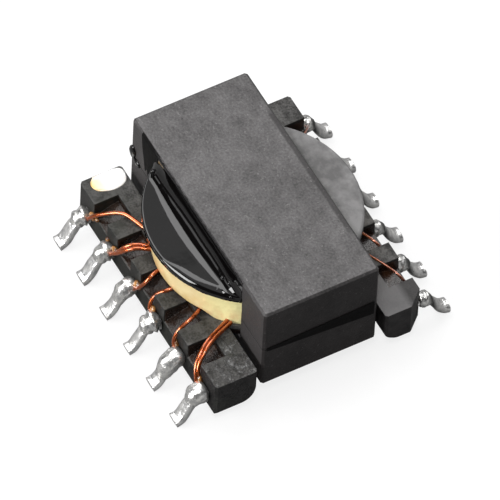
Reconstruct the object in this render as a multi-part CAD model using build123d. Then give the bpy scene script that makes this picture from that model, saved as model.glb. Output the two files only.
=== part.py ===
from build123d import *
from math import cos, radians, sin, sqrt, tan
import os

# Surface-mount transformer: two ferrite halves closed round a moulded coil former that
# carries the windings, with six terminals along each side. Millimetres, +Z up, X along the
# core, Y across it. The origin is on the board, under the middle of the part.

# Terminal rails: six terminals along each, and the core as long as they are but for its inset
terminal_pitch = 2.54
terminals_per_side = 6
rail_end = 1.08
core_inset = 0.28

# Ferrite core: two like halves, mating faces in the middle of the window
core_width = 6.7
half_height = 2.95
slab_thickness = 1.3
window_diameter = 11.7
post_diameter = 4.7
core_edge = 0.12
core_above_board = 1.35
air_gap = 0.2

# Adhesive between the end legs, with the smear that it leaves on the end faces
bond_film = 0.04
smear_thickness = 0.05
smear_margin = 0.1
smear_narrow = 0.2
smear_above = 0.3
smear_below = 0.7

# Coil former: barrel, two round flanges and two terminal rails, one moulding
former_fit = 0.05
barrel_clearance = 0.1
barrel_wall = 0.35
flange_clearance = 0.2
upper_flange = 0.5
lower_flange = 0.47
flange_edge = 0.12
rail_clearance = 0.4
rail_outer = 6.18
rail_depth = 2.3
rail_edge = 0.12
rail_foot_round = 0.9
keyed_corner_along = 0.84
keyed_corner_across = 0.94
slot_width = 1.44
slot_reach = 1.4
slot_inner_depth = 0.5
slot_outer_depth = 1.0

# Terminals: one strip each, straight out of the rail where the leads are wrapped, then bent
# down to a gull-wing foot
strip_width = 0.62
strip_thickness = 0.38
strip_bend = 0.28
strip_anchor = 1.23
strip_exit = 0.93
wrap_length = 0.55
foot_slope_run = 0.95
toe_length = 0.37
toe_round = 0.2

# Windings, tapes and lead wires
winding_clear = 0.02
coil_inset = 0.25
primary_share = 0.417
interlayer_tape = 0.1
outer_tape = 0.25
lead_diameter = 0.25
wire_sides = 8
bend_share = 0.45
lead_clear = 0.05
lead_drop = 0.62
lead_pull = 0.28
wrap_pitch = 0.27
notch_clear = 0.12

# Solder round the root of each terminal, rippled by the wire turns under it
solder_radius = 0.47
solder_ripple = 0.06
solder_turns = 2
solder_sides = 9
solder_lap = 0.35
solder_cap = 0.12
solder_gap = 0.03

# Black varnish run between the core's side and the flange
varnish_film = 0.12
varnish_overhang = 0.22
varnish_below_top = 0.15
varnish_run = 0.75
varnish_skirt = 0.35
meniscus_share = 0.35

overrun = 1.0

rail_length = (terminals_per_side - 1) * terminal_pitch + 2 * rail_end
core_length = rail_length - 2 * core_inset
core_foot = core_above_board
joint_height = core_foot + half_height
core_top = joint_height + bond_film + half_height
window_floor = core_foot + slab_thickness
window_roof = core_top - slab_thickness
lower_flange_foot = window_floor + former_fit
deck = lower_flange_foot + lower_flange
upper_flange_top = window_roof - former_fit
upper_flange_foot = upper_flange_top - upper_flange
flange_radius = window_diameter / 2 - flange_clearance
rail_inner = core_width / 2 + rail_clearance
rail_foot = deck - rail_depth
wrap_height = rail_foot + strip_exit
barrel_bore = post_diameter / 2 + barrel_clearance
barrel_radius = barrel_bore + barrel_wall
primary_bore = barrel_radius + winding_clear
tape_radius = flange_radius - coil_inset
secondary_radius = tape_radius - outer_tape
primary_radius = primary_bore + primary_share * (secondary_radius - primary_bore - interlayer_tape)
secondary_bore = primary_radius + interlayer_tape
lead_radius = lead_diameter / 2

ON_FLOOR = (Align.CENTER, Align.CENTER, Align.MIN)


def save(name, solid):
    """Write one piece to its own file."""
    solid.label = name
    export_step(solid, "parts/" + name + ".step")


def ring(inner, outer, foot, top):
    """Upright ring between two radii and two heights."""
    height = top - foot
    body = Cylinder(outer, height, align=ON_FLOOR) - Cylinder(inner, height, align=ON_FLOOR)
    return Pos(0, 0, foot) * body


def terminal_x(number):
    """Place along the core of terminal 0 to 5 of a side."""
    return (number - (terminals_per_side - 1) / 2) * terminal_pitch


def slot_x(number):
    """Place along the core of the wire slot after terminal 0 to 4 of a side."""
    return terminal_x(number) + terminal_pitch / 2


def core_footprint():
    """Outline of the core seen from above, its upright corners broken."""
    outline = Rectangle(core_length, core_width)
    return chamfer(outline.vertices(), core_edge)


def core_half():
    """One ferrite half on its back: slab, two end legs hollowed to the window, centre post."""
    block = extrude(core_footprint(), half_height)
    block = chamfer(block.edges().group_by(Axis.Z)[0], core_edge)
    channel = ring(post_diameter / 2, window_diameter / 2, slab_thickness, half_height)
    relief = (air_gap - bond_film) / 2
    post_end = Pos(0, 0, half_height - relief) * Cylinder(window_diameter / 2, relief, align=ON_FLOOR)
    return block - channel - post_end


def leg_bond(end):
    """Adhesive film on one end leg, with the wedge of it smeared over the joint outside."""
    film = extrude(core_footprint(), bond_film)
    film -= Cylinder(window_diameter / 2, bond_film, align=ON_FLOOR)
    film = Pos(0, 0, joint_height) * film
    keep = Pos(end * core_length / 2, 0, joint_height) * Box(core_length, core_width, half_height)
    film = film & keep
    reach = core_width / 2 - core_edge - smear_margin
    middle = joint_height + bond_film / 2
    wedge = Polyline(
        (-end * reach, middle - smear_narrow / 2),
        (-end * reach, middle + smear_narrow / 2),
        (end * reach, middle + smear_above),
        (end * reach, middle - smear_below),
        close=True,
    )
    face = Plane(origin=(end * core_length / 2, 0, 0), x_dir=(0, 1, 0), z_dir=(1, 0, 0)) * make_face(wedge)
    smear = extrude(face, smear_thickness, dir=(end, 0, 0))
    return film + smear


def terminal(side, number):
    """Bent strip: held in the rail, straight out of it under the wrapped leads, down to the board."""
    toe_height = strip_thickness / 2
    knee = rail_outer + wrap_length
    ankle = knee + foot_slope_run
    x = terminal_x(number)
    path = FilletPolyline(
        (x, side * (rail_outer - strip_anchor), wrap_height),
        (x, side * knee, wrap_height),
        (x, side * ankle, toe_height),
        (x, side * (ankle + toe_length), toe_height),
        radius=strip_bend,
    )
    start = Plane(origin=path @ 0, x_dir=(1, 0, 0), z_dir=path % 0)
    strip = sweep(start * Rectangle(strip_width, strip_thickness), path=path)
    toe = strip.edges().filter_by(Axis.Z).filter_by(lambda edge: abs(edge.center().Z) < strip_thickness)
    return fillet(toe, toe_round)


def solder_joint(side, number):
    """Solder sleeve on a terminal's root, with one ripple for each turn of wire under it."""
    start = rail_outer + solder_gap
    knee = rail_outer + wrap_length
    root = solder_radius - solder_ripple
    pitch = (knee + solder_lap - solder_cap - start) / solder_turns
    rings = [(start, root)]
    for turn in range(solder_turns):
        low = start + turn * pitch
        rings += [(low + pitch / 2, solder_radius), (low + pitch, root)]
    rings.append((knee + solder_lap, root - solder_cap))
    upright = Plane(origin=(terminal_x(number), 0, wrap_height), x_dir=(1, 0, 0), z_dir=(0, side, 0))
    sections = [upright.offset(place) * RegularPolygon(radius, solder_sides) for place, radius in rings]
    return loft(sections, ruled=True)


def slot(side, number):
    """Wire slot in the outer edge of a rail, its floor falling outwards."""
    inner = rail_outer - slot_reach
    outer = rail_outer + overrun
    fall = (slot_outer_depth - slot_inner_depth) / slot_reach
    profile = Polyline(
        (side * inner, deck + overrun),
        (side * inner, deck - slot_inner_depth),
        (side * outer, deck - slot_outer_depth - fall * overrun),
        (side * outer, deck + overrun),
        close=True,
    )
    start = Plane(origin=(slot_x(number) - slot_width / 2, 0, 0), x_dir=(0, 1, 0), z_dir=(1, 0, 0))
    return extrude(start * make_face(profile), slot_width, dir=(1, 0, 0))


def rail(side):
    """Terminal rail: a bar with its lower inner edge rounded and its outer edges broken."""
    middle = side * (rail_inner + rail_outer) / 2
    bar = Pos(0, middle, rail_foot) * Box(rail_length, rail_outer - rail_inner, rail_depth, align=ON_FLOOR)
    lengthwise = bar.edges().filter_by(Axis.X)
    low = lengthwise.group_by(Axis.Z)[0]
    bar = fillet(low.sort_by(lambda edge: abs(edge.center().Y))[0], rail_foot_round)
    upright = bar.edges().filter_by(Axis.Z)
    return chamfer(upright, rail_edge)


def flange(foot, thickness):
    """Round flange with the upper edge of its rim broken."""
    disc = Pos(0, 0, foot) * Cylinder(flange_radius, thickness, align=ON_FLOOR)
    return chamfer(disc.edges().group_by(Axis.Z)[-1], flange_edge)


def coil_former(strips):
    """Moulding with its barrel round the centre post, cast round the terminal strips."""
    body = flange(lower_flange_foot, lower_flange) + flange(upper_flange_foot, upper_flange)
    barrel_height = upper_flange_top - lower_flange_foot
    body += Pos(0, 0, lower_flange_foot) * Cylinder(barrel_radius, barrel_height, align=ON_FLOOR)
    for side in (-1, 1):
        body += rail(side)
        for number in range(terminals_per_side - 1):
            body -= slot(side, number)
    body -= Pos(0, 0, lower_flange_foot) * Cylinder(barrel_bore, barrel_height, align=ON_FLOOR)
    for strip in strips:
        body -= strip
    corner = Polyline(
        (rail_length / 2 - keyed_corner_along, rail_outer),
        (rail_length / 2 + overrun, rail_outer + overrun),
        (rail_length / 2, rail_outer - keyed_corner_across),
        close=True,
    )
    return body - Pos(0, 0, rail_foot) * extrude(make_face(corner), rail_depth, dir=(0, 0, 1))


def tube(points, radius):
    """Round wire along straight runs, joined by arcs as large as the runs allow."""
    corners = [Vector(*point) for point in points]
    radii = []
    for before, here, after in zip(corners, corners[1:], corners[2:]):
        half_turn = radians((here - before).get_angle(after - here)) / 2
        shorter = min((here - before).length, (after - here).length)
        radii.append(bend_share * shorter / tan(half_turn))
    path = FilletPolyline(*points, radius=radii) if radii else Line(*points)
    return sweep(Plane(origin=path @ 0, z_dir=path % 0) * RegularPolygon(radius, wire_sides), path=path)


# The leads of each terminal along a side, one or two: where each leaves the coil in degrees from
# the middle of the side, then its place across the slot at the inner end and at the mouth. The far
# side has only the first of each.
lead_shares = (
    ((-33, 0.45, -0.3),),
    ((-24, 0.1, -0.3), (-18, 0.92, 0.6)),
    ((-7, -0.92, -0.5),),
    ((9, 0.92, 0.8),),
    ((31, 0.85, 0.92),),
    ((46, 0.1, 0.9), (40, -0.65, 0.1)),
)


def lead_points(side, number, turn):
    """Route of one lead: off the coil, over the deck, down the slot nearer the middle, to its turn."""
    angle, inner_share, mouth_share = lead_shares[number][turn]
    slot_number = number if number < terminals_per_side / 2 else number - 1
    free = slot_width / 2 - lead_radius - lead_clear
    on_deck = deck + lead_radius + lead_clear / 2
    start = secondary_radius - lead_radius
    towards = 1 if slot_number == number else -1
    bend_x = slot_x(slot_number) + inner_share * free
    past_tape = sqrt(max(tape_radius**2 - bend_x**2, 0)) + lead_radius
    bend = max(rail_outer - slot_reach + lead_pull, past_tape)
    mouth = rail_outer + (turn + 1) * (lead_radius + lead_clear)
    wrap = rail_outer + wrap_pitch * (turn + 1)
    return [
        (start * sin(radians(angle)), side * start * cos(radians(angle)), on_deck),
        (bend_x, side * bend, on_deck),
        (slot_x(slot_number) + mouth_share * free, side * mouth, deck - lead_drop),
        (terminal_x(number) + towards * solder_radius / 2, side * wrap, wrap_height),
    ]


def tape_notch(points):
    """Upright cut that lets a lead out under the tape's lower edge."""
    run = Line(*points[:2])
    width = lead_diameter + 2 * notch_clear
    start = Plane(origin=run @ 0, x_dir=(0, 0, 1), z_dir=run % 0)
    return extrude(start * Rectangle(2 * width, width), run.length)


def varnish():
    """Varnish filling the corner between the core's side and the flange, lapping its rim."""
    side_face = -core_width / 2
    climb = core_top - varnish_below_top
    coat = upper_flange_top + varnish_film
    toe = side_face - varnish_run
    rim = flange_radius + varnish_overhang
    hem = upper_flange_top - varnish_skirt
    beyond = rim + overrun
    belly = (side_face - meniscus_share * varnish_run, coat + meniscus_share * (climb - coat))
    edges = [
        Line((side_face, hem), (side_face, climb)),
        ThreePointArc((side_face, climb), belly, (toe, coat)),
        Line((toe, coat), (-beyond, coat)),
        Line((-beyond, coat), (-beyond, hem)),
        Line((-beyond, hem), (side_face, hem)),
    ]
    start = Plane(origin=(-beyond, 0, 0), x_dir=(0, 1, 0), z_dir=(1, 0, 0))
    run = extrude(start * make_face(edges), 2 * beyond, dir=(1, 0, 0))
    run = run & Cylinder(rim, core_top, align=ON_FLOOR)
    return run - flange(upper_flange_foot, upper_flange)


os.makedirs("parts", exist_ok=True)

half = core_half()
save("core_lower", Pos(0, 0, core_foot) * half)
save("core_upper", Pos(0, 0, core_top) * Rot(180, 0, 0) * half)
save("core_bond_front", leg_bond(1))
save("core_bond_rear", leg_bond(-1))

strips = [terminal(side, number) for side in (-1, 1) for number in range(terminals_per_side)]
save("coil_former", coil_former(strips))
for count, strip in enumerate(strips, 1):
    save(f"terminal_{count:02d}", strip)

winding_foot = deck + winding_clear
winding_top = upper_flange_foot - winding_clear
primary = ring(primary_bore, primary_radius, winding_foot, winding_top)
secondary = ring(secondary_bore, secondary_radius, winding_foot, winding_top)
save("primary_winding", primary)
save("secondary_winding", secondary)
save("interlayer_tape", ring(primary_radius, secondary_bore, winding_foot, winding_top))

tape = ring(secondary_radius, tape_radius, winding_foot, winding_top)
for row, side in enumerate((-1, 1)):
    for number, leads in enumerate(lead_shares):
        count = row * terminals_per_side + number
        joint = solder_joint(side, number)
        save(f"solder_joint_{count + 1:02d}", joint - strips[count])
        for turn in range(len(leads) if side < 0 else 1):
            points = lead_points(side, number, turn)
            wire = tube(points, lead_radius) - secondary - joint
            pair = "_pair" if turn else ""
            save(f"lead_{count + 1:02d}{pair}", wire)
            tape -= tape_notch(points)
save("outer_tape", tape)
save("varnish_run", varnish())
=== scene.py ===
import bpy
from math import cos, pi, radians, sin
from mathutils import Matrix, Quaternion, Vector, noise


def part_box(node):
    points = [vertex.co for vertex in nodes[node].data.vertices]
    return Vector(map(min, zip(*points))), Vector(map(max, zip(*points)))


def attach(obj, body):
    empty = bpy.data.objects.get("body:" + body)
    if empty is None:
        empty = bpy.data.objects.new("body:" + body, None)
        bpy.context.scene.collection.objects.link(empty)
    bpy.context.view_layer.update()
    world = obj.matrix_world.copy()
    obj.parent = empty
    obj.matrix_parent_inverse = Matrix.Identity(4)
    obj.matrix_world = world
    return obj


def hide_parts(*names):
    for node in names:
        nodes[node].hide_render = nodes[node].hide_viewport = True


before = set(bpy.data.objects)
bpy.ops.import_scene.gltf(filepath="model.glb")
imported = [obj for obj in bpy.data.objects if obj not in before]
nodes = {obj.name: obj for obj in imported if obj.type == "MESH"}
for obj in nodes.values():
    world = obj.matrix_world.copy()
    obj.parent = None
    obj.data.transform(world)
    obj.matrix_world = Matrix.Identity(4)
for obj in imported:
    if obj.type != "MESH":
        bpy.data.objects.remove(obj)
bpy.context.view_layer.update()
mm = 0.001

# Ferrite core: two pressed and fired halves with ground mating faces, glued at their end legs.
# The fired skin is grey with a fine grain, pale specks and small pits. Its tops are painted lighter as a
# painted sheen, its sides darker as painted shade, and its near side lighter as painted light.


class Link:
    """A socket of a material. Arithmetic on it adds Math nodes, so 1 - grain * 2 works."""

    def __init__(self, tree, socket):
        self.tree = tree
        self.socket = socket

    def node(self, kind, settings=None, sockets=None, output=0):
        """Any node: its settings first, then the values or links of its sockets."""
        node = self.tree.nodes.new(kind)
        for name, value in (settings or {}).items():
            setattr(node, name, value)
        fill(node, sockets or {})
        return Link(self.tree, node.outputs[output])

    def math(self, operation, first, second=0):
        return self.node("ShaderNodeMath", {"operation": operation}, {0: first, 1: second})

    def __add__(self, other):
        return self.math("ADD", self, other)

    __radd__ = __add__

    def __sub__(self, other):
        return self.math("SUBTRACT", self, other)

    def __rsub__(self, other):
        return self.math("SUBTRACT", other, self)

    def __mul__(self, other):
        return self.math("MULTIPLY", self, other)

    __rmul__ = __mul__

    def __abs__(self):
        return self.math("ABSOLUTE", self)

    def split(self, axis):
        """One part of a vector."""
        return self.node("ShaderNodeSeparateXYZ", {}, {"Vector": self}, axis)

    def ramp(self, start, end):
        """0 on the near side of start, 1 beyond end, straight between. It may run downwards."""
        sockets = {"Value": self, "From Min": start, "From Max": end}
        return self.node("ShaderNodeMapRange", {"clamp": True}, sockets)

    def mix(self, first, second):
        """Colour between two, by this value."""
        sockets = {"Factor": self, "A": first, "B": second}
        return self.node("ShaderNodeMix", {"data_type": "RGBA"}, sockets, "Result")

    def noise(self, size, detail=2, roughness=0.5):
        """Noise whose lumps are about this many metres across."""
        sockets = {"Vector": self, "Scale": 1 / size, "Detail": detail, "Roughness": roughness}
        return self.node("ShaderNodeTexNoise", {}, sockets, "Fac")

    def bump(self, height):
        """Normal of this one, or of the surface from a place, raised by a height in metres."""
        sockets = {"Height": height, "Strength": 1, "Distance": 1}
        if self.socket.name == "Normal":
            sockets["Normal"] = self
        return self.node("ShaderNodeBump", {}, sockets)


def fill(node, sockets):
    """Gives a node's sockets their values or links. A socket goes by its number or its name."""
    for name, value in sockets.items():
        if isinstance(name, int):
            socket = node.inputs[name]
        else:
            socket = next(each for each in node.inputs if each.name == name and each.enabled)
        if isinstance(value, Link):
            node.id_data.links.new(value.socket, socket)
        else:
            socket.default_value = value


def new_material(name):
    """Material with its shader and, to work from, the place on the object in metres."""
    material = bpy.data.materials.new(name)
    material.use_nodes = True
    tree = material.node_tree
    place = Link(tree, tree.nodes.new("ShaderNodeTexCoord").outputs["Object"])
    return material, tree.nodes["Principled BSDF"], place


def dress(names, material):
    """Gives CAD nodes their finish."""
    for name in names:
        for holder in nodes[name].material_slots:
            holder.material = material


ferrite_edge = 0.09 * mm
shaded_side_black = (0.006, 0.005, 0.005, 1)
shaded_side_dark = (0.026, 0.023, 0.023, 1)
lit_front_grey = (0.075, 0.071, 0.071, 1)
sheen_top_dark = (0.044, 0.042, 0.042, 1)
sheen_top_grey = (0.135, 0.13, 0.131, 1)
far_edge_dark = (0.024, 0.022, 0.022, 1)
speck_grey = (0.26, 0.25, 0.25, 1)
pit_black = (0.008, 0.007, 0.007, 1)

ferrite, shader, place = new_material("fired_ferrite")
grain = place.noise(0.13 * mm, 3, 0.6)
mottle = place.noise(0.9 * mm, 4, 0.6)
clouds = place.noise(4 * mm, 2)
specks = place.noise(0.15 * mm, 1).ramp(0.68, 0.76)
pits = place.noise(0.16 * mm, 2).ramp(0.3, 0.2)
tone = (grain * 0.42 + mottle * 0.33 + clouds * 0.25).ramp(0.37, 0.63)
normal = place.node("ShaderNodeNewGeometry", output="Normal")
upward = normal.split("Z").ramp(0.6, 0.95)
frontal = normal.split("Y").ramp(-0.7, -0.95)
# The top is darker along its far edge, beside the flange
far_edge = place.split("Y").ramp(2.96 * mm, 3.06 * mm) * upward
far_edge = far_edge * (1 - abs(place.split("X")).ramp(4.1 * mm, 4.7 * mm))
# Painted light and shade: the sides darker as painted shade, the near side lighter as painted light, the tops
# lighter as a painted sheen.
sides = (frontal * 0.36).mix(tone.mix(shaded_side_black, shaded_side_dark), lit_front_grey)
skin = upward.mix(sides, tone.mix(sheen_top_dark, sheen_top_grey))
skin = (far_edge * 0.75).mix(skin, far_edge_dark)
skin = (specks * (0.1 + upward * 0.25)).mix(skin, speck_grey)
skin = (pits * 0.6).mix(skin, pit_black)
rounded = place.node("ShaderNodeBevel", {"samples": 8}, {"Radius": ferrite_edge})
fill(shader, {
    "Base Color": skin,
    "Roughness": 0.44 + grain * 0.2,
    "Normal": rounded.bump(grain * (0.02 * mm) + specks * (0.012 * mm) - pits * (0.02 * mm)),
    "Specular IOR Level": 0.25,
})
dress(["core_upper", "core_lower"], ferrite)

# Adhesive: a black epoxy film between the end legs of the core. What was squeezed out is wiped
# into a thin matt wedge over the joint.

epoxy_black = (0.001, 0.001, 0.001, 1)
epoxy_dark = (0.005, 0.0045, 0.0045, 1)

adhesive, shader, place = new_material("epoxy_adhesive")
fill(shader, {
    "Base Color": place.noise(0.4 * mm).mix(epoxy_black, epoxy_dark),
    "Roughness": 0.6 + place.noise(0.2 * mm) * 0.2,
    "Specular IOR Level": 0.08,
})
dress(["core_bond_front", "core_bond_rear"], adhesive)

# Coil former: one moulding of glass-filled black plastic with a satin skin. Its up-facing surfaces are
# painted lighter as a painted sheen, and its top flange paler still with a painted sheen. Its near end block
# is scuffed, and flux from the soldering has browned the slots, which are also darkened with painted shade.

flange_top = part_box("coil_former")[1].z
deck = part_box("lead_01")[1].z - 0.275 * mm
former_edge = 0.07 * mm
moulded_black = (0.004, 0.0035, 0.0035, 1)
moulded_dark = (0.02, 0.018, 0.018, 1)
former_sheen_dark = (0.02, 0.019, 0.018, 1)
former_sheen_grey = (0.105, 0.102, 0.099, 1)
deck_shade = (0.014, 0.015, 0.012, 1)
flange_sheen_grey = (0.14, 0.137, 0.137, 1)
flange_sheen_pale = (0.26, 0.255, 0.255, 1)
burnt_amber = (0.008, 0.004, 0.003, 1)
clear_amber = (0.13, 0.045, 0.014, 1)
slot_flux_and_shade = (0.012, 0.006, 0.004, 1)
greenish = (0.04, 0.045, 0.034, 1)
far_block_sheen_grey = (0.14, 0.136, 0.138, 1)
block_dark = (0.04, 0.038, 0.038, 1)
block_black = (0.012, 0.012, 0.012, 1)
scuff_grey = (0.26, 0.26, 0.26, 1)

former_plastic, shader, place = new_material("former_plastic")
grain = place.noise(0.1 * mm, 3)
mottle = place.noise(0.7 * mm, 4, 0.6)
patches = place.noise(1.7 * mm, 3)
scuffs = place.noise(0.5 * mm, 6, 0.8).ramp(0.49, 0.6)
amber = place.noise(0.9 * mm, 2).ramp(0.45, 0.7)
tone = (mottle * 0.6 + grain * 0.4).ramp(0.41, 0.59)
flange_tone = (patches * 0.5 + mottle * 0.5).ramp(0.4, 0.6)

# Where each stretch of the moulding lies, as masks
along = place.split("X")
across = place.split("Y")
height = place.split("Z")
upward = place.node("ShaderNodeNewGeometry", output="Normal").split("Z").ramp(0.6, 0.95)
within = 1 - abs(across).ramp(6.08 * mm, 6.16 * mm)
within = within * (1 - abs(along).ramp(5.75 * mm, 5.85 * mm))
in_slots = (1 - height.ramp(deck - 0.3 * mm, deck - 0.05 * mm)) * (0.12 + within * 0.88)
flux = (in_slots + mottle * 0.9 - 0.32).ramp(0.4, 0.7) * in_slots
flange = height.ramp(flange_top - 0.3 * mm, flange_top - 0.02 * mm)
flange = flange * abs(across).ramp(3.5 * mm, 4.1 * mm)
near_row = 1 - across.ramp(-4.6 * mm, -3.6 * mm)
near_block = (1 - across.ramp(-3.6 * mm, -3.2 * mm)) * along.ramp(4.2 * mm, 5.0 * mm)
far_block = across.ramp(3.0 * mm, 3.4 * mm) * along.ramp(4.8 * mm, 5.2 * mm) * upward * (1 - in_slots)

# Up-facing surfaces are painted lighter: a painted sheen on the black plastic.
skin = upward.mix(tone.mix(moulded_black, moulded_dark), tone.mix(former_sheen_dark, former_sheen_grey))
# Painted sheen: the top of the flange is painted paler grey.
skin = (flange * 0.85).mix(skin, flange_tone.mix(flange_sheen_grey, flange_sheen_pale))
skin = (flux * 0.9).mix(skin, amber.mix(burnt_amber, clear_amber))
skin = (patches.ramp(0.5, 0.75) * near_row * 0.4).mix(skin, greenish)
# Painted sheen: the top of the far end block is painted lighter grey, darker towards its outer edge.
skin = (far_block * 0.8).mix(skin, across.ramp(5.1 * mm, 5.5 * mm).mix(far_block_sheen_grey, block_dark))
skin = (near_row * (1 - along.ramp(3.6 * mm, 5.4 * mm)) * 0.45).mix(skin, deck_shade)
# Slots darker: brown flux residue, and painted shade in the recesses.
skin = (in_slots * within * 0.75).mix(skin, slot_flux_and_shade)
skin = (near_block * upward * scuffs * 0.6).mix(skin, scuff_grey)
skin = (near_block * (1 - scuffs) * mottle.ramp(0.5, 0.6) * 0.5).mix(skin, block_black)
relief = grain * (0.012 * mm) + mottle * flux * near_row * (0.06 * mm) + near_block * scuffs * (0.05 * mm)
rounded = place.node("ShaderNodeBevel", {"samples": 8}, {"Radius": former_edge})
fill(shader, {
    "Base Color": skin,
    "Roughness": 0.42 + grain * 0.25 + in_slots * within * 0.06 - flux * 0.36,
    "Normal": rounded.bump(relief),
    "Specular IOR Level": 0.3,
})
dress(["coil_former"], former_plastic)

# Terminals: one flat tinned strip each, cast into its rail. It leaves the rail level, where the
# leads are wrapped on it, and slopes down to a foot on the board, with solder left on it.

strip_width = 0.66 * mm
strip_thickness = 0.42 * mm
strip_root = 0.3 * mm
strip_ripple = 0.03 * mm
wrap_run = 0.5 * mm
knee_run = 0.42 * mm
knee_drop = 0.5 * mm
heel_run = 0.45 * mm
heel_lift = 0.1 * mm
toe_run = 0.04 * mm
toe_height = 0.24 * mm
tip_round = 0.035 * mm
ring_sides = 20
rail_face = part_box("coil_former")[1].y
wrap_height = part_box("terminal_01")[1].z - 0.19 * mm
foot_reach = -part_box("terminal_01")[0].y
row_way = Vector((1, 0, 0))


def smooth_line(points, steps=6):
    """Quadratic spline through the middles of its runs, starting and ending at its end points."""
    held = [points[0], *points, points[-1]]
    line = []
    for before, here, after in zip(held, held[1:], held[2:]):
        for step in range(steps):
            share = step / steps
            line.append(before * ((1 - share) ** 2 / 2)
                        + here * (0.5 + share - share * share)
                        + after * (share * share / 2))
    return line + [points[-1]]


def lofted(name, rings, material, closed=False):
    """Smooth solid piece through rings of points, its ends filled or joined, riding on the part."""
    count = len(rings[0])
    points = [point for ring in rings for point in ring]
    faces = []
    for low in range(0, len(points) if closed else len(points) - count, count):
        high = (low + count) % len(points)
        for side in range(count):
            after = (side + 1) % count
            faces.append((low + side, low + after, high + after, high + side))
    if not closed:
        faces.append(tuple(reversed(range(count))))
        faces.append(tuple(range(len(points) - count, len(points))))
    mesh = bpy.data.meshes.new(name)
    mesh.from_pydata(points, [], faces)
    mesh.shade_smooth()
    mesh.materials.append(material)
    piece = bpy.data.objects.new(name, mesh)
    bpy.context.scene.collection.objects.link(piece)
    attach(piece, "root")
    return piece


tin_grey = (0.5, 0.5, 0.5, 1)
tin_bright = (0.82, 0.81, 0.79, 1)
neck_painted_shade = (0.03, 0.03, 0.03, 1)

tinned, shader, place = new_material("tinned_strip")
lumps = place.noise(0.35 * mm, 2)
streaks = place.noise(0.12 * mm, 3)
out = place.split("Y")
far_row = out.ramp(0, 1 * mm)
# Painted shade: a black band in the crease between the lobes of the far-row terminals.
shaded_neck = far_row * out.ramp(6.72 * mm, 6.92 * mm) * (1 - out.ramp(7.05 * mm, 7.3 * mm))
fill(shader, {
    "Base Color": (shaded_neck * 0.9).mix(lumps.ramp(0.3, 0.7).mix(tin_grey, tin_bright), neck_painted_shade),
    "Metallic": 0.88 + far_row * 0.12,
    "Roughness": 0.2 + streaks * 0.25,
    "Normal": place.bump(lumps * (0.045 * mm) + streaks * (0.01 * mm)),
})


def strip_line(x, side):
    """Middle of a terminal from inside its rail to its tip, each point with its share of the foot."""
    knee = rail_face + wrap_run
    knee_share, heel_share = (0.35, 0.8) if side < 0 else (-0.15, 1)
    return [
        Vector((x, side * (rail_face - strip_root), wrap_height, 0)),
        Vector((x, side * knee, wrap_height, 0)),
        Vector((x, side * (knee + knee_run), wrap_height - knee_drop, knee_share)),
        Vector((x, side * (foot_reach - heel_run), toe_height + heel_lift, heel_share)),
        Vector((x, side * (foot_reach - toe_run), toe_height, 1)),
    ]


def oval(middle, along, thick, wide, squareness, swell):
    """Ring of points round a middle, square to a run: an oval that squareness turns to a box."""
    up = row_way.cross(along).normalized()
    ring = []
    for step in range(ring_sides):
        angle = 2 * pi * step / ring_sides
        level = cos(angle)
        rise = sin(angle)
        grow = (abs(level) ** squareness + abs(rise) ** squareness) ** (-1 / squareness)
        point = middle + row_way * (level * grow * wide) + up * (rise * grow * thick)
        ring.append(point + (point - middle).normalized() * swell(angle, point))
    return ring


def strip_swell(angle, point):
    """Unevenness of the tin on a strip."""
    return strip_ripple * noise.noise(point / (0.5 * mm))


# Width and thickness of each foot against the strip, and its squareness, near row first
foot_shares = (
    (1.3, 1, 6), (1.28, 1, 7), (1.35, 1.1, 2.6), (1.15, 1, 2.8), (1.4, 1.15, 2.4), (1.28, 1, 5),
    (1.4, 1.5, 2.2), (1.35, 1.45, 2.4), (1.3, 1.4, 2.4),
    (1.4, 1.5, 2.2), (1.45, 1.55, 2.2), (1.4, 1.5, 2.2),
)
for count, (width_share, thickness_share, squareness) in enumerate(foot_shares):
    name = f"terminal_{count + 1:02d}"
    low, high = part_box(name)
    side = 1 if low.y > 0 else -1
    line = smooth_line(strip_line((low.x + high.x) / 2, side))
    rings = []
    for here, after in zip(line, line[1:] + [2 * line[-1] - line[-2]]):
        along = (after - here).to_3d().normalized()
        wide = strip_width / 2 * (1 + (width_share - 1) * here[3])
        thick = strip_thickness / 2 * (1 + (thickness_share - 1) * here[3])
        middle = here.to_3d() + Vector((0, 0, thick - strip_thickness / 2))
        rings.append(oval(middle, along, thick, wide, squareness, strip_swell))
    for shrink in (0.75, 0.4):
        step = Vector((0, side * tip_round * (1 - shrink), 0))
        rings.append([middle + step + (point - middle) * shrink for point in rings[-1]])
    for ring in rings:
        for point in ring:
            point.y = side * min(side * point.y, foot_reach)
    piece = lofted(f"tinned_strip_{count + 1:02d}", rings, tinned)
    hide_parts(name)

# Windings and their leads: enamelled copper wire. Each lead comes out under the tape, crosses the
# deck, drops through its slot in the rail and is wrapped on its terminal.

wire_radius = 0.115 * mm
far_wire_radius = 0.075 * mm
turn_radius = 0.36 * mm
wrap_out = 0.32 * mm
copper_dark = (0.2, 0.026, 0.005, 1)
copper_bright = (0.66, 0.16, 0.035, 1)
copper_dull = (0.2, 0.09, 0.065, 1)

copper, shader, place = new_material("enamelled_copper")
dulled = place.split("Y").ramp(2 * mm, 3 * mm) * 0.6
fill(shader, {
    "Base Color": dulled.mix(place.noise(0.25 * mm, 2).mix(copper_dark, copper_bright), copper_dull),
    "Metallic": 0.85,
    "Roughness": 0.22,
    "Coat Weight": 1.0,
})
dress(["primary_winding", "secondary_winding"], copper)

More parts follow.
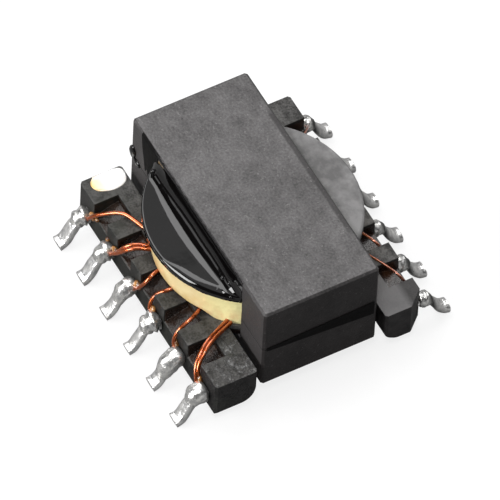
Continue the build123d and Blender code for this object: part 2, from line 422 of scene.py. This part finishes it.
# Route of each lead from coil to slot, in mm along the row and out from the middle, with the
# height over the deck. Leads 1 to 6 are the near row, and the far row, half hidden, is set alike.
lead_routes = {
    "lead_01": (
        (-2.9, 4.55, 0.02), (-3.7, 4.85, 0.12), (-4.55, 5.2, 0.14), (-5.2, 5.9, -0.35), (-5.75, 6.42, -0.95)),
    "lead_02": (
        (-1.75, 4.9, 0.02), (-2.1, 5.4, 0.1), (-2.45, 5.95, -0.1), (-2.85, 6.35, -0.7), (-3.35, 6.55, -1.2)),
    "lead_02_pair": (
        (-2.0, 4.85, 0.02), (-2.35, 5.35, 0.1), (-2.75, 5.95, -0.15), (-3.0, 6.3, -0.8), (-3.4, 6.4, -1.3)),
    "lead_03": (
        (-0.55, 4.95, 0.02), (-0.42, 5.6, 0.08), (-0.3, 6.1, -0.3), (-0.55, 6.4, -0.9), (-0.9, 6.45, -1.35)),
    "lead_04": (
        (0.85, 4.95, 0.02), (0.87, 5.45, 0.05), (0.5, 6.0, -0.45), (0.55, 6.35, -0.95), (0.85, 6.45, -1.35)),
    "lead_05": (
        (2.6, 4.5, 0.02), (2.99, 5.0, 0.14), (3.1, 5.9, -0.2), (3.15, 6.35, -0.8), (3.45, 6.45, -1.35)),
    "lead_06": (
        (3.9, 3.6, 0.02), (4.3, 4.4, 0.14), (4.75, 5.4, 0.1), (5.35, 6.3, -0.5), (5.95, 6.5, -1.2)),
    "lead_06_pair": (
        (4.15, 3.55, 0.02), (4.5, 4.35, 0.14), (4.95, 5.35, 0.1), (5.5, 6.25, -0.55), (6.0, 6.38, -1.3)),
    "lead_07": (
        (-2.9, 4.55, 0.02), (-3.6, 4.9, 0.1), (-4.6, 5.4, 0.05), (-5.3, 6.1, -0.4), (-5.8, 6.42, -0.9)),
    "lead_08": (
        (-1.9, 4.85, 0.02), (-2.25, 5.4, 0.1), (-2.6, 5.95, -0.1), (-2.95, 6.35, -0.7), (-3.4, 6.5, -1.15)),
    "lead_09": (
        (-0.55, 4.95, 0.02), (-0.42, 5.6, 0.08), (-0.35, 6.1, -0.3), (-0.6, 6.4, -0.9), (-0.9, 6.45, -1.3)),
    "lead_10": (
        (0.85, 4.95, 0.02), (0.8, 5.5, 0.02), (0.5, 6.0, -0.35), (0.6, 6.35, -0.95), (0.85, 6.45, -1.3)),
    "lead_11": (
        (1.2, 4.75, 0.05), (2.2, 5.17, 0.1), (3.0, 5.5, 0.08), (3.4, 5.8, -0.35), (3.6, 6.4, -1.1)),
    "lead_12": (
        (3.3, 4.65, 0.05), (4.1, 5.04, 0.1), (5.35, 5.54, 0.08), (5.75, 5.8, -0.35), (6.05, 6.4, -1.1)),
}


def wire(name, points, radius, stands_for):
    """Round wire along a smooth spline."""
    curve = bpy.data.curves.new(name, "CURVE")
    curve.dimensions = "3D"
    curve.bevel_depth = radius
    curve.bevel_resolution = 3
    curve.resolution_u = 5
    curve.use_fill_caps = True
    spline = curve.splines.new("NURBS")
    spline.points.add(len(points) - 1)
    for knot, point in zip(spline.points, points):
        knot.co = (*point, 1)
    spline.order_u = 3
    spline.use_endpoint_u = True
    curve.materials.append(copper)
    piece = bpy.data.objects.new(name, curve)
    bpy.context.scene.collection.objects.link(piece)
    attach(piece, "root")
    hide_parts(stands_for)


for lead, route in lead_routes.items():
    low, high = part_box("terminal_" + lead[5:7])
    side = 1 if low.y > 0 else -1
    x = (low.x + high.x) / 2
    points = [Vector((a * mm, side * b * mm, deck + wire_radius + c * mm)) for a, b, c in route]
    towards = 1 if points[-1].x > x else -1
    out = side * (rail_face + wrap_out)
    points.append(Vector((x + towards * turn_radius, out, wrap_height)))
    points.append(Vector((x, out, wrap_height - turn_radius)))
    wire("copper_" + lead, points, far_wire_radius if side > 0 else wire_radius, lead)

# Solder joints: tin run over the wrapped turns at the root of each terminal, its ridges following
# the wire under it, and drawn out along the strip.

joint_radius = 0.47 * mm
joint_length = 1.0 * mm
joint_ripple = 0.05 * mm
ridge_height = 0.04 * mm
ridge_turns = 2.6
solder_grey = (0.45, 0.45, 0.45, 1)
solder_bright = (0.84, 0.83, 0.8, 1)

solder, shader, place = new_material("solder")
lumps = place.noise(0.3 * mm, 2)
fine = place.noise(0.1 * mm, 3)
out = place.split("Y")
far_row = out.ramp(0, 1 * mm)
# Painted shade: a black band in the crease between the lobes of the far-row joints.
shaded_neck = far_row * out.ramp(6.72 * mm, 6.92 * mm)
fill(shader, {
    "Base Color": (shaded_neck * 0.9).mix(lumps.ramp(0.3, 0.7).mix(solder_grey, solder_bright), neck_painted_shade),
    "Metallic": 0.9 + far_row * 0.1,
    "Roughness": 0.18 + fine * 0.25,
    "Normal": place.bump(lumps * (0.05 * mm) + fine * (0.012 * mm)),
})

# Radius, height of the ridges and length of each joint against the usual, near row first
joint_shares = (
    (1.05, 1.2, 1.0), (1.1, 0.8, 1.05), (1.05, 0.25, 1.5),
    (1.22, 1.6, 1.05), (1.2, 0.1, 1.9), (1.28, 0.2, 1.15),
    (1.0, 0.8, 0.85), (1.0, 0.9, 0.8), (1.0, 0.8, 0.85),
    (0.95, 0.7, 0.8), (1.0, 0.9, 0.9), (0.95, 0.7, 0.85),
)
for count, (radius_share, ridge_share, length_share) in enumerate(joint_shares):
    low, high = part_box(f"terminal_{count + 1:02d}")
    side = 1 if low.y > 0 else -1
    line = smooth_line(strip_line((low.x + high.x) / 2, side), 24)
    start = side * (rail_face + 0.02 * mm)
    line = [point.to_3d() for point in line if point.y * side > start * side]
    run = 0
    stations = []
    for here, after in zip(line, line[1:]):
        stations.append((run, here, (after - here).normalized()))
        run += (after - here).length
    length = joint_length * length_share
    stations = [station for station in stations if station[0] < length][::2]
    rings = []
    for run, here, along in stations:
        share = run / length
        swell = (1 - (1 - min(share / 0.18, 1)) ** 2) ** 0.5
        fade = max(0, (share - 0.45) / 0.55) ** 1.3
        radius = joint_radius * radius_share * (0.62 + 0.38 * swell)
        thick = radius * (1 - fade) + strip_thickness * 0.5 * fade
        wide = radius * (1 - fade) + strip_width * 0.52 * fade
        ridge = ridge_height * ridge_share * (1 - fade)
        wound = 2 * pi * ridge_turns * share
        rings.append(oval(here, along, thick, wide, 2, lambda angle, point: (
            ridge * cos(angle - wound) + joint_ripple * noise.noise(point / (0.4 * mm)))))
    piece = lofted(f"solder_{count + 1:02d}", rings, solder)
    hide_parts(f"solder_joint_{count + 1:02d}")

# Tape: yellow polyester film wound over the coil, with the leads coming out under its lower edge.
# It is glossy, a little puckered, stained orange where the leads leave, and hangs at one end.

tape_lift = 0.25 * mm
tape_wall = 0.12 * mm
tape_bulge = 0.035 * mm
tape_pucker = 0.02 * mm
tape_edge = 0.02 * mm
tape_steps = 180
tape_low, tape_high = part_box("outer_tape")
tape_outer = tape_high.x
film_tan = (0.68, 0.5, 0.22, 1)
film_cream = (0.8, 0.67, 0.38, 1)
lit_film_yellow = (0.92, 0.87, 0.44, 1)
stain_orange = (0.72, 0.33, 0.12, 1)

tape, shader, place = new_material("winding_tape")
cloud = place.noise(1.3 * mm, 3)
crinkle = place.noise(0.5 * mm, 2)
low_edge = 1 - place.split("Z").ramp(tape_low.z + 0.2 * mm, tape_low.z + 1.2 * mm)
stains = low_edge * place.noise(0.9 * mm, 3).ramp(0.4, 0.62)
film = cloud.ramp(0.35, 0.65).mix(film_tan, film_cream)
# Painted light: the film is painted paler and brighter yellow towards its right end.
film = (place.split("X").ramp(2.4 * mm, 3.8 * mm) * 0.85).mix(film, lit_film_yellow)
film = (stains * 0.65).mix(film, stain_orange)
fill(shader, {
    "Base Color": film,
    "Roughness": 0.28 + crinkle * 0.15,
    "Normal": place.bump(crinkle * (0.05 * mm)),
    "Coat Weight": 0.4,
})
dress(["interlayer_tape"], tape)


def rising(value, low, high):
    """0 below low, 1 above high, smooth between."""
    share = min(max((value - low) / (high - low), 0), 1)
    return share * share * (3 - 2 * share)


rings = []
for step in range(tape_steps):
    angle = 2 * pi * step / tape_steps
    out = Vector((cos(angle), sin(angle), 0))
    pucker = tape_pucker * noise.noise(out * 9)
    hang = rising(out.x, 0.5, 0.8) * (1 - rising(out.y, -0.2, 0.2))
    foot = tape_low.z + tape_lift * (1 - 2.6 * hang) + 0.05 * mm * noise.noise(out * 5)
    top = tape_high.z - 0.005 * mm
    ring = []
    for share in (0, 0.04, 0.2, 0.4, 0.6, 0.8, 0.97, 1):
        edge = tape_edge if share in (0, 1) else 0
        bow = sin(pi * share)
        radius = tape_outer - tape_bulge - edge + (tape_bulge - tape_pucker) * bow + pucker * bow
        ring.append(out * radius + Vector((0, 0, foot + (top - foot) * share)))
    ring += [out * (tape_outer - tape_wall) + Vector((0, 0, z)) for z in (top, foot)]
    rings.append(ring)
piece = lofted("polyester_tape", rings, tape, closed=True)
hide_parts("outer_tape")

# Varnish: black, run hot into the corner between the core and the flange, where it crept up the
# ferrite, and left to flow over the flange's rim. It set smooth and glossy, with a ragged upper
# edge and a few blisters, and left drops at the joint of the core's leg.

varnish_film = 0.1 * mm
varnish_steps = 160
core_edge = 0.12 * mm
flange_radius = 5.65 * mm
run_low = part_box("varnish_run")[0]
core_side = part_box("core_upper")[0].y
core_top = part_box("core_upper")[1].z
climb = core_top - core_edge
rim_radius = -run_low.y - 0.015 * mm
half_run = (rim_radius ** 2 - core_side ** 2) ** 0.5 - 0.03 * mm
varnish_black = (0.0008, 0.0007, 0.0007, 1)
varnish_dark = (0.003, 0.0026, 0.0026, 1)

varnish, shader, place = new_material("black_varnish")
wave = place.noise(0.9 * mm, 2)
dust = place.noise(0.15 * mm, 2)
fill(shader, {
    "Base Color": wave.mix(varnish_black, varnish_dark),
    "Roughness": 0.06 + dust.ramp(0.55, 0.85) * 0.12,
    "Normal": place.bump(wave * (0.01 * mm)),
})

# One section across the run at a time: ragged edge on the core, fillet, flat, shoulder and hem
rings = []
for step in range(varnish_steps + 1):
    x = half_run * sin((2 * step / varnish_steps - 1) * pi / 2)
    rim = -(rim_radius ** 2 - x * x) ** 0.5
    seat = -(max(flange_radius ** 2 - x * x, 0)) ** 0.5
    shoulder = (0.1 + 0.4 * rising(x, 0.7 * mm, 1.9 * mm)) * mm
    drop = 0.75 * shoulder
    coat = flange_top + varnish_film + 0.04 * mm * rising(x, 0.5 * mm, 2.2 * mm)
    bow = max(0, 1 - (x / (3.5 * mm)) ** 2)
    fillet = (0.64 + 0.34 * bow + 0.03 * noise.noise(Vector((x / (0.9 * mm), 0, 1)))) * mm
    fillet = min(fillet, (core_side - rim) * 0.75)
    ragged = noise.noise(Vector((x / (0.22 * mm), 3.7, 0)))
    over = core_edge * (0.55 + 0.4 * ragged)
    ring = [
        Vector((x, core_side + over, climb + over + 0.01 * mm)),
        Vector((x, core_side + over - 0.03 * mm, climb + over - 0.005 * mm)),
    ]
    for bend in range(17):
        turn = pi / 2 * (1 - bend / 16)
        y = core_side - 0.01 * mm - fillet * (1 - sin(turn))
        ring.append(Vector((x, y, coat + (climb - coat) * (1 - cos(turn)))))
    toe = ring[-1].y
    for flat in range(1, 19):
        y = toe + (rim - toe) * (1 - (1 - flat / 18) ** 2)
        edge = min(max(1 - (rim_radius - (x * x + y * y) ** 0.5) / shoulder, 0), 1)
        ring.append(Vector((x, y, coat - drop * (1 - (1 - edge * edge) ** 0.5))))
    hem = run_low.z + 0.05 * mm + 0.05 * mm * noise.noise(Vector((x / (0.6 * mm), 0, 5)))
    ring += [
        Vector((x, rim, ring[-1].z - 0.04 * mm)),
        Vector((x, rim, hem)),
        Vector((x, rim + 0.05 * mm, hem - 0.01 * mm)),
        Vector((x, max(min(seat, core_side), rim + 0.05 * mm), flange_top + 0.002 * mm)),
        Vector((x, core_side - 0.002 * mm, flange_top + 0.002 * mm)),
        Vector((x, core_side - 0.002 * mm, climb)),
    ]
    rings.append(ring)
piece = lofted("glossy_varnish", rings, varnish)
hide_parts("varnish_run")


def lump(name, place, radii, material):
    """Egg-shaped lump at a place with three radii, in mm."""
    rings = []
    for bend in range(17):
        turn = pi * bend / 16
        wide = max(sin(turn), 0.02)
        ring = []
        for side in range(24):
            angle = 2 * pi * side / 24
            point = Vector((
                cos(angle) * wide * radii[0], sin(angle) * wide * radii[1], -cos(turn) * radii[2]))
            swell = 1 + 0.12 * noise.noise((Vector(place) + point) / 0.3)
            ring.append((Vector(place) + point * swell) * mm)
        rings.append(ring)
    lofted(name, rings, material)


# Smear on the leg: adhesive wiped down the near side of the core's left leg. It narrows away from
# the flange and thins to its edges.

smear_ends = (-6.1 * mm, -4.3 * mm)
smear_foot = 3.5 * mm
smear_top = core_top - 0.02 * mm
smear_proud = 0.05 * mm
smear_steps = 48

rings = []
for step in range(smear_steps + 1):
    share = step / smear_steps
    x = smear_ends[0] + (smear_ends[1] - smear_ends[0]) * share
    fade = min(1, (share + 0.01) / 0.45) ** 0.6
    ragged = noise.noise(Vector((x / (0.3 * mm), 3.5, 0)))
    low = smear_top - (smear_top - smear_foot) * fade * (0.9 + 0.35 * ragged)
    ring = []
    for bend in range(25):
        turn = pi * bend / 24
        z = low + (smear_top - low) * (1 - cos(turn)) / 2
        lean = max(0, z - climb)
        ring.append(Vector((x, core_side + lean - smear_proud * fade * sin(turn) ** 0.6, z)))
    ring.append(Vector((x, core_side + smear_top - core_top + core_edge + 0.01 * mm, smear_top)))
    ring.append(Vector((x, core_side + 0.01 * mm, low)))
    rings.append(ring)
lofted("smear_on_leg", rings, adhesive)

# Blisters and drops of varnish: six blisters in the run, set as they rose, and two drops that ran
# to the joint of the leg. Each has its place and its radii in mm.

for count, (spot, radii) in enumerate((
    ((3.63, -4.13, 5.95), (0.16, 0.16, 0.12)), ((3.82, -3.55, 6.3), (0.13, 0.13, 0.12)),
    ((4.15, -3.62, 6.05), (0.17, 0.17, 0.12)), ((3.3, -3.7, 6.25), (0.1, 0.1, 0.08)),
    ((4.35, -3.75, 5.9), (0.12, 0.12, 0.1)), ((-4.35, -3.6, 6.2), (0.12, 0.12, 0.1)),
    ((-6.9, -3.37, 4.75), (0.3, 0.16, 0.45)), ((-6.45, -3.37, 4.3), (0.35, 0.12, 0.2)),
)):
    lump(f"varnish_lump_{count + 1}", spot, radii, varnish)

# Flux: amber rosin from the soldering, left in clear beads on the rail where the leads reach the
# near terminals. Each has its place and its radii in mm.

rosin_brown = (0.05, 0.014, 0.003, 1)
rosin_amber = (0.42, 0.19, 0.05, 1)

rosin, shader, place = new_material("amber_rosin")
depth = place.noise(0.3 * mm, 2)
fill(shader, {
    "Base Color": depth.ramp(0.35, 0.65).mix(rosin_brown, rosin_amber),
    "Roughness": 0.12 + depth * 0.1,
    "Coat Weight": 0.6,
})
for count, (spot, radii) in enumerate((
    ((-5.8, -6.26, 2.2), (0.3, 0.16, 0.22)), ((-5.45, -6.2, 2.3), (0.16, 0.12, 0.12)),
    ((-3.3, -6.28, 2.25), (0.3, 0.16, 0.22)), ((-4.2, -6.22, 2.1), (0.15, 0.12, 0.14)),
    ((-0.85, -6.28, 2.2), (0.3, 0.17, 0.25)), ((0.8, -6.28, 2.1), (0.28, 0.17, 0.25)),
    ((3.25, -6.28, 2.1), (0.26, 0.17, 0.3)), ((5.85, -6.28, 2.1), (0.26, 0.17, 0.3)),
)):
    lump(f"rosin_bead_{count + 1}", spot, radii, rosin)

# Resin: a glossy dab of adhesive, dropped on the end of the near rail and set there, yellow where it is
# thick. Its near-white is partly its own pale colour and partly a painted highlight. It is low and flat, with
# a rounded edge.

# The near-white is partly the resin's own colour and partly a painted highlight.
resin_white_highlight = (0.95, 0.94, 0.92, 1)
resin_yellow = (0.72, 0.46, 0.16, 1)
resin_height = 0.07 * mm
resin_middle = Vector((-6.88, -4.8, 0)) * mm
resin_outline = (
    (-7.41, -5.45), (-7.42, -4.9), (-7.42, -4.2), (-7.3, -3.8), (-6.7, -3.78), (-6.3, -4.05),
    (-6.15, -4.7), (-6.3, -5.3), (-6.55, -5.72), (-7.05, -5.82), (-7.41, -5.45),
)

resin, shader, place = new_material("pale_resin_highlight")
depth = place.noise(0.8 * mm, 2)
yellowed = (1 - place.split("Y").ramp(-5.7 * mm, -4.9 * mm)) * depth.ramp(0.2, 0.55)
fill(shader, {
    "Base Color": yellowed.mix(resin_white_highlight, resin_yellow),
    "Roughness": 0.12 + depth * 0.1,
    "Coat Weight": 0.5,
    "Normal": place.bump(depth * (0.03 * mm)),
})
outline = smooth_line([Vector((x, y, 0)) * mm for x, y in resin_outline], 4)[:-1]
rings = []
for share, lift in ((1, 0), (0.97, 0.4), (0.9, 0.7), (0.75, 0.9), (0.5, 1), (0.25, 1.03), (0.05, 1.04)):
    level = Vector((0, 0, deck + lift * resin_height))
    rings.append([resin_middle + (point - resin_middle) * share + level for point in outline])
lofted("resin_dab", rings, resin)

# Floor: a pale matt table that the part stands on, which keeps its soft shadow. It is nearly
# white to the camera and darker to the light that it throws back on the part.

floor_size = 400 * mm
floor_glow = 0.8
floor_white = (0.9, 0.9, 0.9, 1)
floor_dark = (0.25, 0.25, 0.25, 1)

bpy.ops.mesh.primitive_plane_add(size=floor_size)
floor = bpy.context.object
floor.name = "floor"
floor_paint, shader, place = new_material("floor_paint")
tree = floor_paint.node_tree
glow = tree.nodes.new("ShaderNodeEmission")
blend = tree.nodes.new("ShaderNodeMixShader")
camera_ray = place.node("ShaderNodeLightPath", output="Is Camera Ray")
fill(shader, {
    "Base Color": camera_ray.mix(floor_dark, floor_white),
    "Roughness": 0.9,
    "Specular IOR Level": 0.0,
})
fill(blend, {"Fac": camera_ray * floor_glow})
tree.links.new(shader.outputs["BSDF"], blend.inputs[1])
tree.links.new(glow.outputs["Emission"], blend.inputs[2])
tree.links.new(blend.outputs["Shader"], tree.nodes["Material Output"].inputs["Surface"])
floor.data.materials.append(floor_paint)

# Studio: white to the camera, an even dim light on matt surfaces, and for shiny ones a pale
# ceiling and low walls behind.

world = bpy.data.worlds.new("studio")
bpy.context.scene.world = world
world.use_nodes = True
background = world.node_tree.nodes["Background"]
direction = Link(world.node_tree, world.node_tree.nodes.new("ShaderNodeTexCoord").outputs["Generated"])
height = direction.split("Z")
behind = direction.split("Y").ramp(-0.5, -0.1)
ceiling = height.ramp(0.72, 0.78) * 0.8
walls = (1 - height.ramp(0.22, 0.42)) * behind * 0.6
camera_ray = direction.node("ShaderNodeLightPath", output="Is Camera Ray")
glossy_ray = direction.node("ShaderNodeLightPath", output="Is Glossy Ray")
level = camera_ray + glossy_ray * (0.03 + ceiling + walls) + (1 - camera_ray - glossy_ray) * 0.42
fill(background, {"Color": level.ramp(0, 1).mix((0, 0, 0, 1), (1, 1, 1, 1)), "Strength": 1.0})

# Lamps: six square soft boxes. The strongest stand low in front, high on the left and behind, a
# small one overhead gives the metal its glints, and two weak ones light the near and left sides.

lamp_distance = 300 * mm


def soft_box(name, towards, size, power):
    """Square lamp in a direction from the part, facing it."""
    lamp = bpy.data.lights.new(name, "AREA")
    lamp.size = size
    lamp.energy = power
    box = bpy.data.objects.new(name, lamp)
    box.location = towards.normalized() * lamp_distance
    box.rotation_mode = "QUATERNION"
    box.rotation_quaternion = towards.to_track_quat("Z", "Y")
    bpy.context.scene.collection.objects.link(box)


soft_box("key_lamp", Vector((-0.51, -0.1, 0.86)), 190 * mm, 0.42)
soft_box("fill_lamp", Vector((-0.51, -0.82, 0.3)), 55 * mm, 0.014)
soft_box("front_lamp", Vector((-0.1, -0.9, 0.4)), 145 * mm, 0.95)
soft_box("glint_lamp", Vector((0.35, -0.25, 0.9)), 50 * mm, 0.25)
soft_box("rim_lamp", Vector((-0.96, 0.0, 0.25)), 100 * mm, 0.03)
soft_box("back_lamp", Vector((-0.3, 0.85, 0.45)), 150 * mm, 0.35)

# Camera: a very long lens, so that the part looks almost without perspective, from the front
# right and well above it.

camera_lens = 1000
camera_place = Vector((367.33, -220.47, 577.13)) * mm
camera_aim = Vector((-1.07, 0.48, 0.82)) * mm
camera_roll = radians(3.04)

optics = bpy.data.cameras.new("camera")
optics.lens = camera_lens
optics.clip_end = 10
camera = bpy.data.objects.new("camera", optics)
camera.location = camera_place
camera.rotation_mode = "QUATERNION"
look = camera_place - camera_aim
camera.rotation_quaternion = Quaternion(look, camera_roll) @ look.to_track_quat("Z", "Y")
bpy.context.scene.collection.objects.link(camera)
bpy.context.scene.camera = camera

bpy.context.scene.view_settings.view_transform = "Standard"
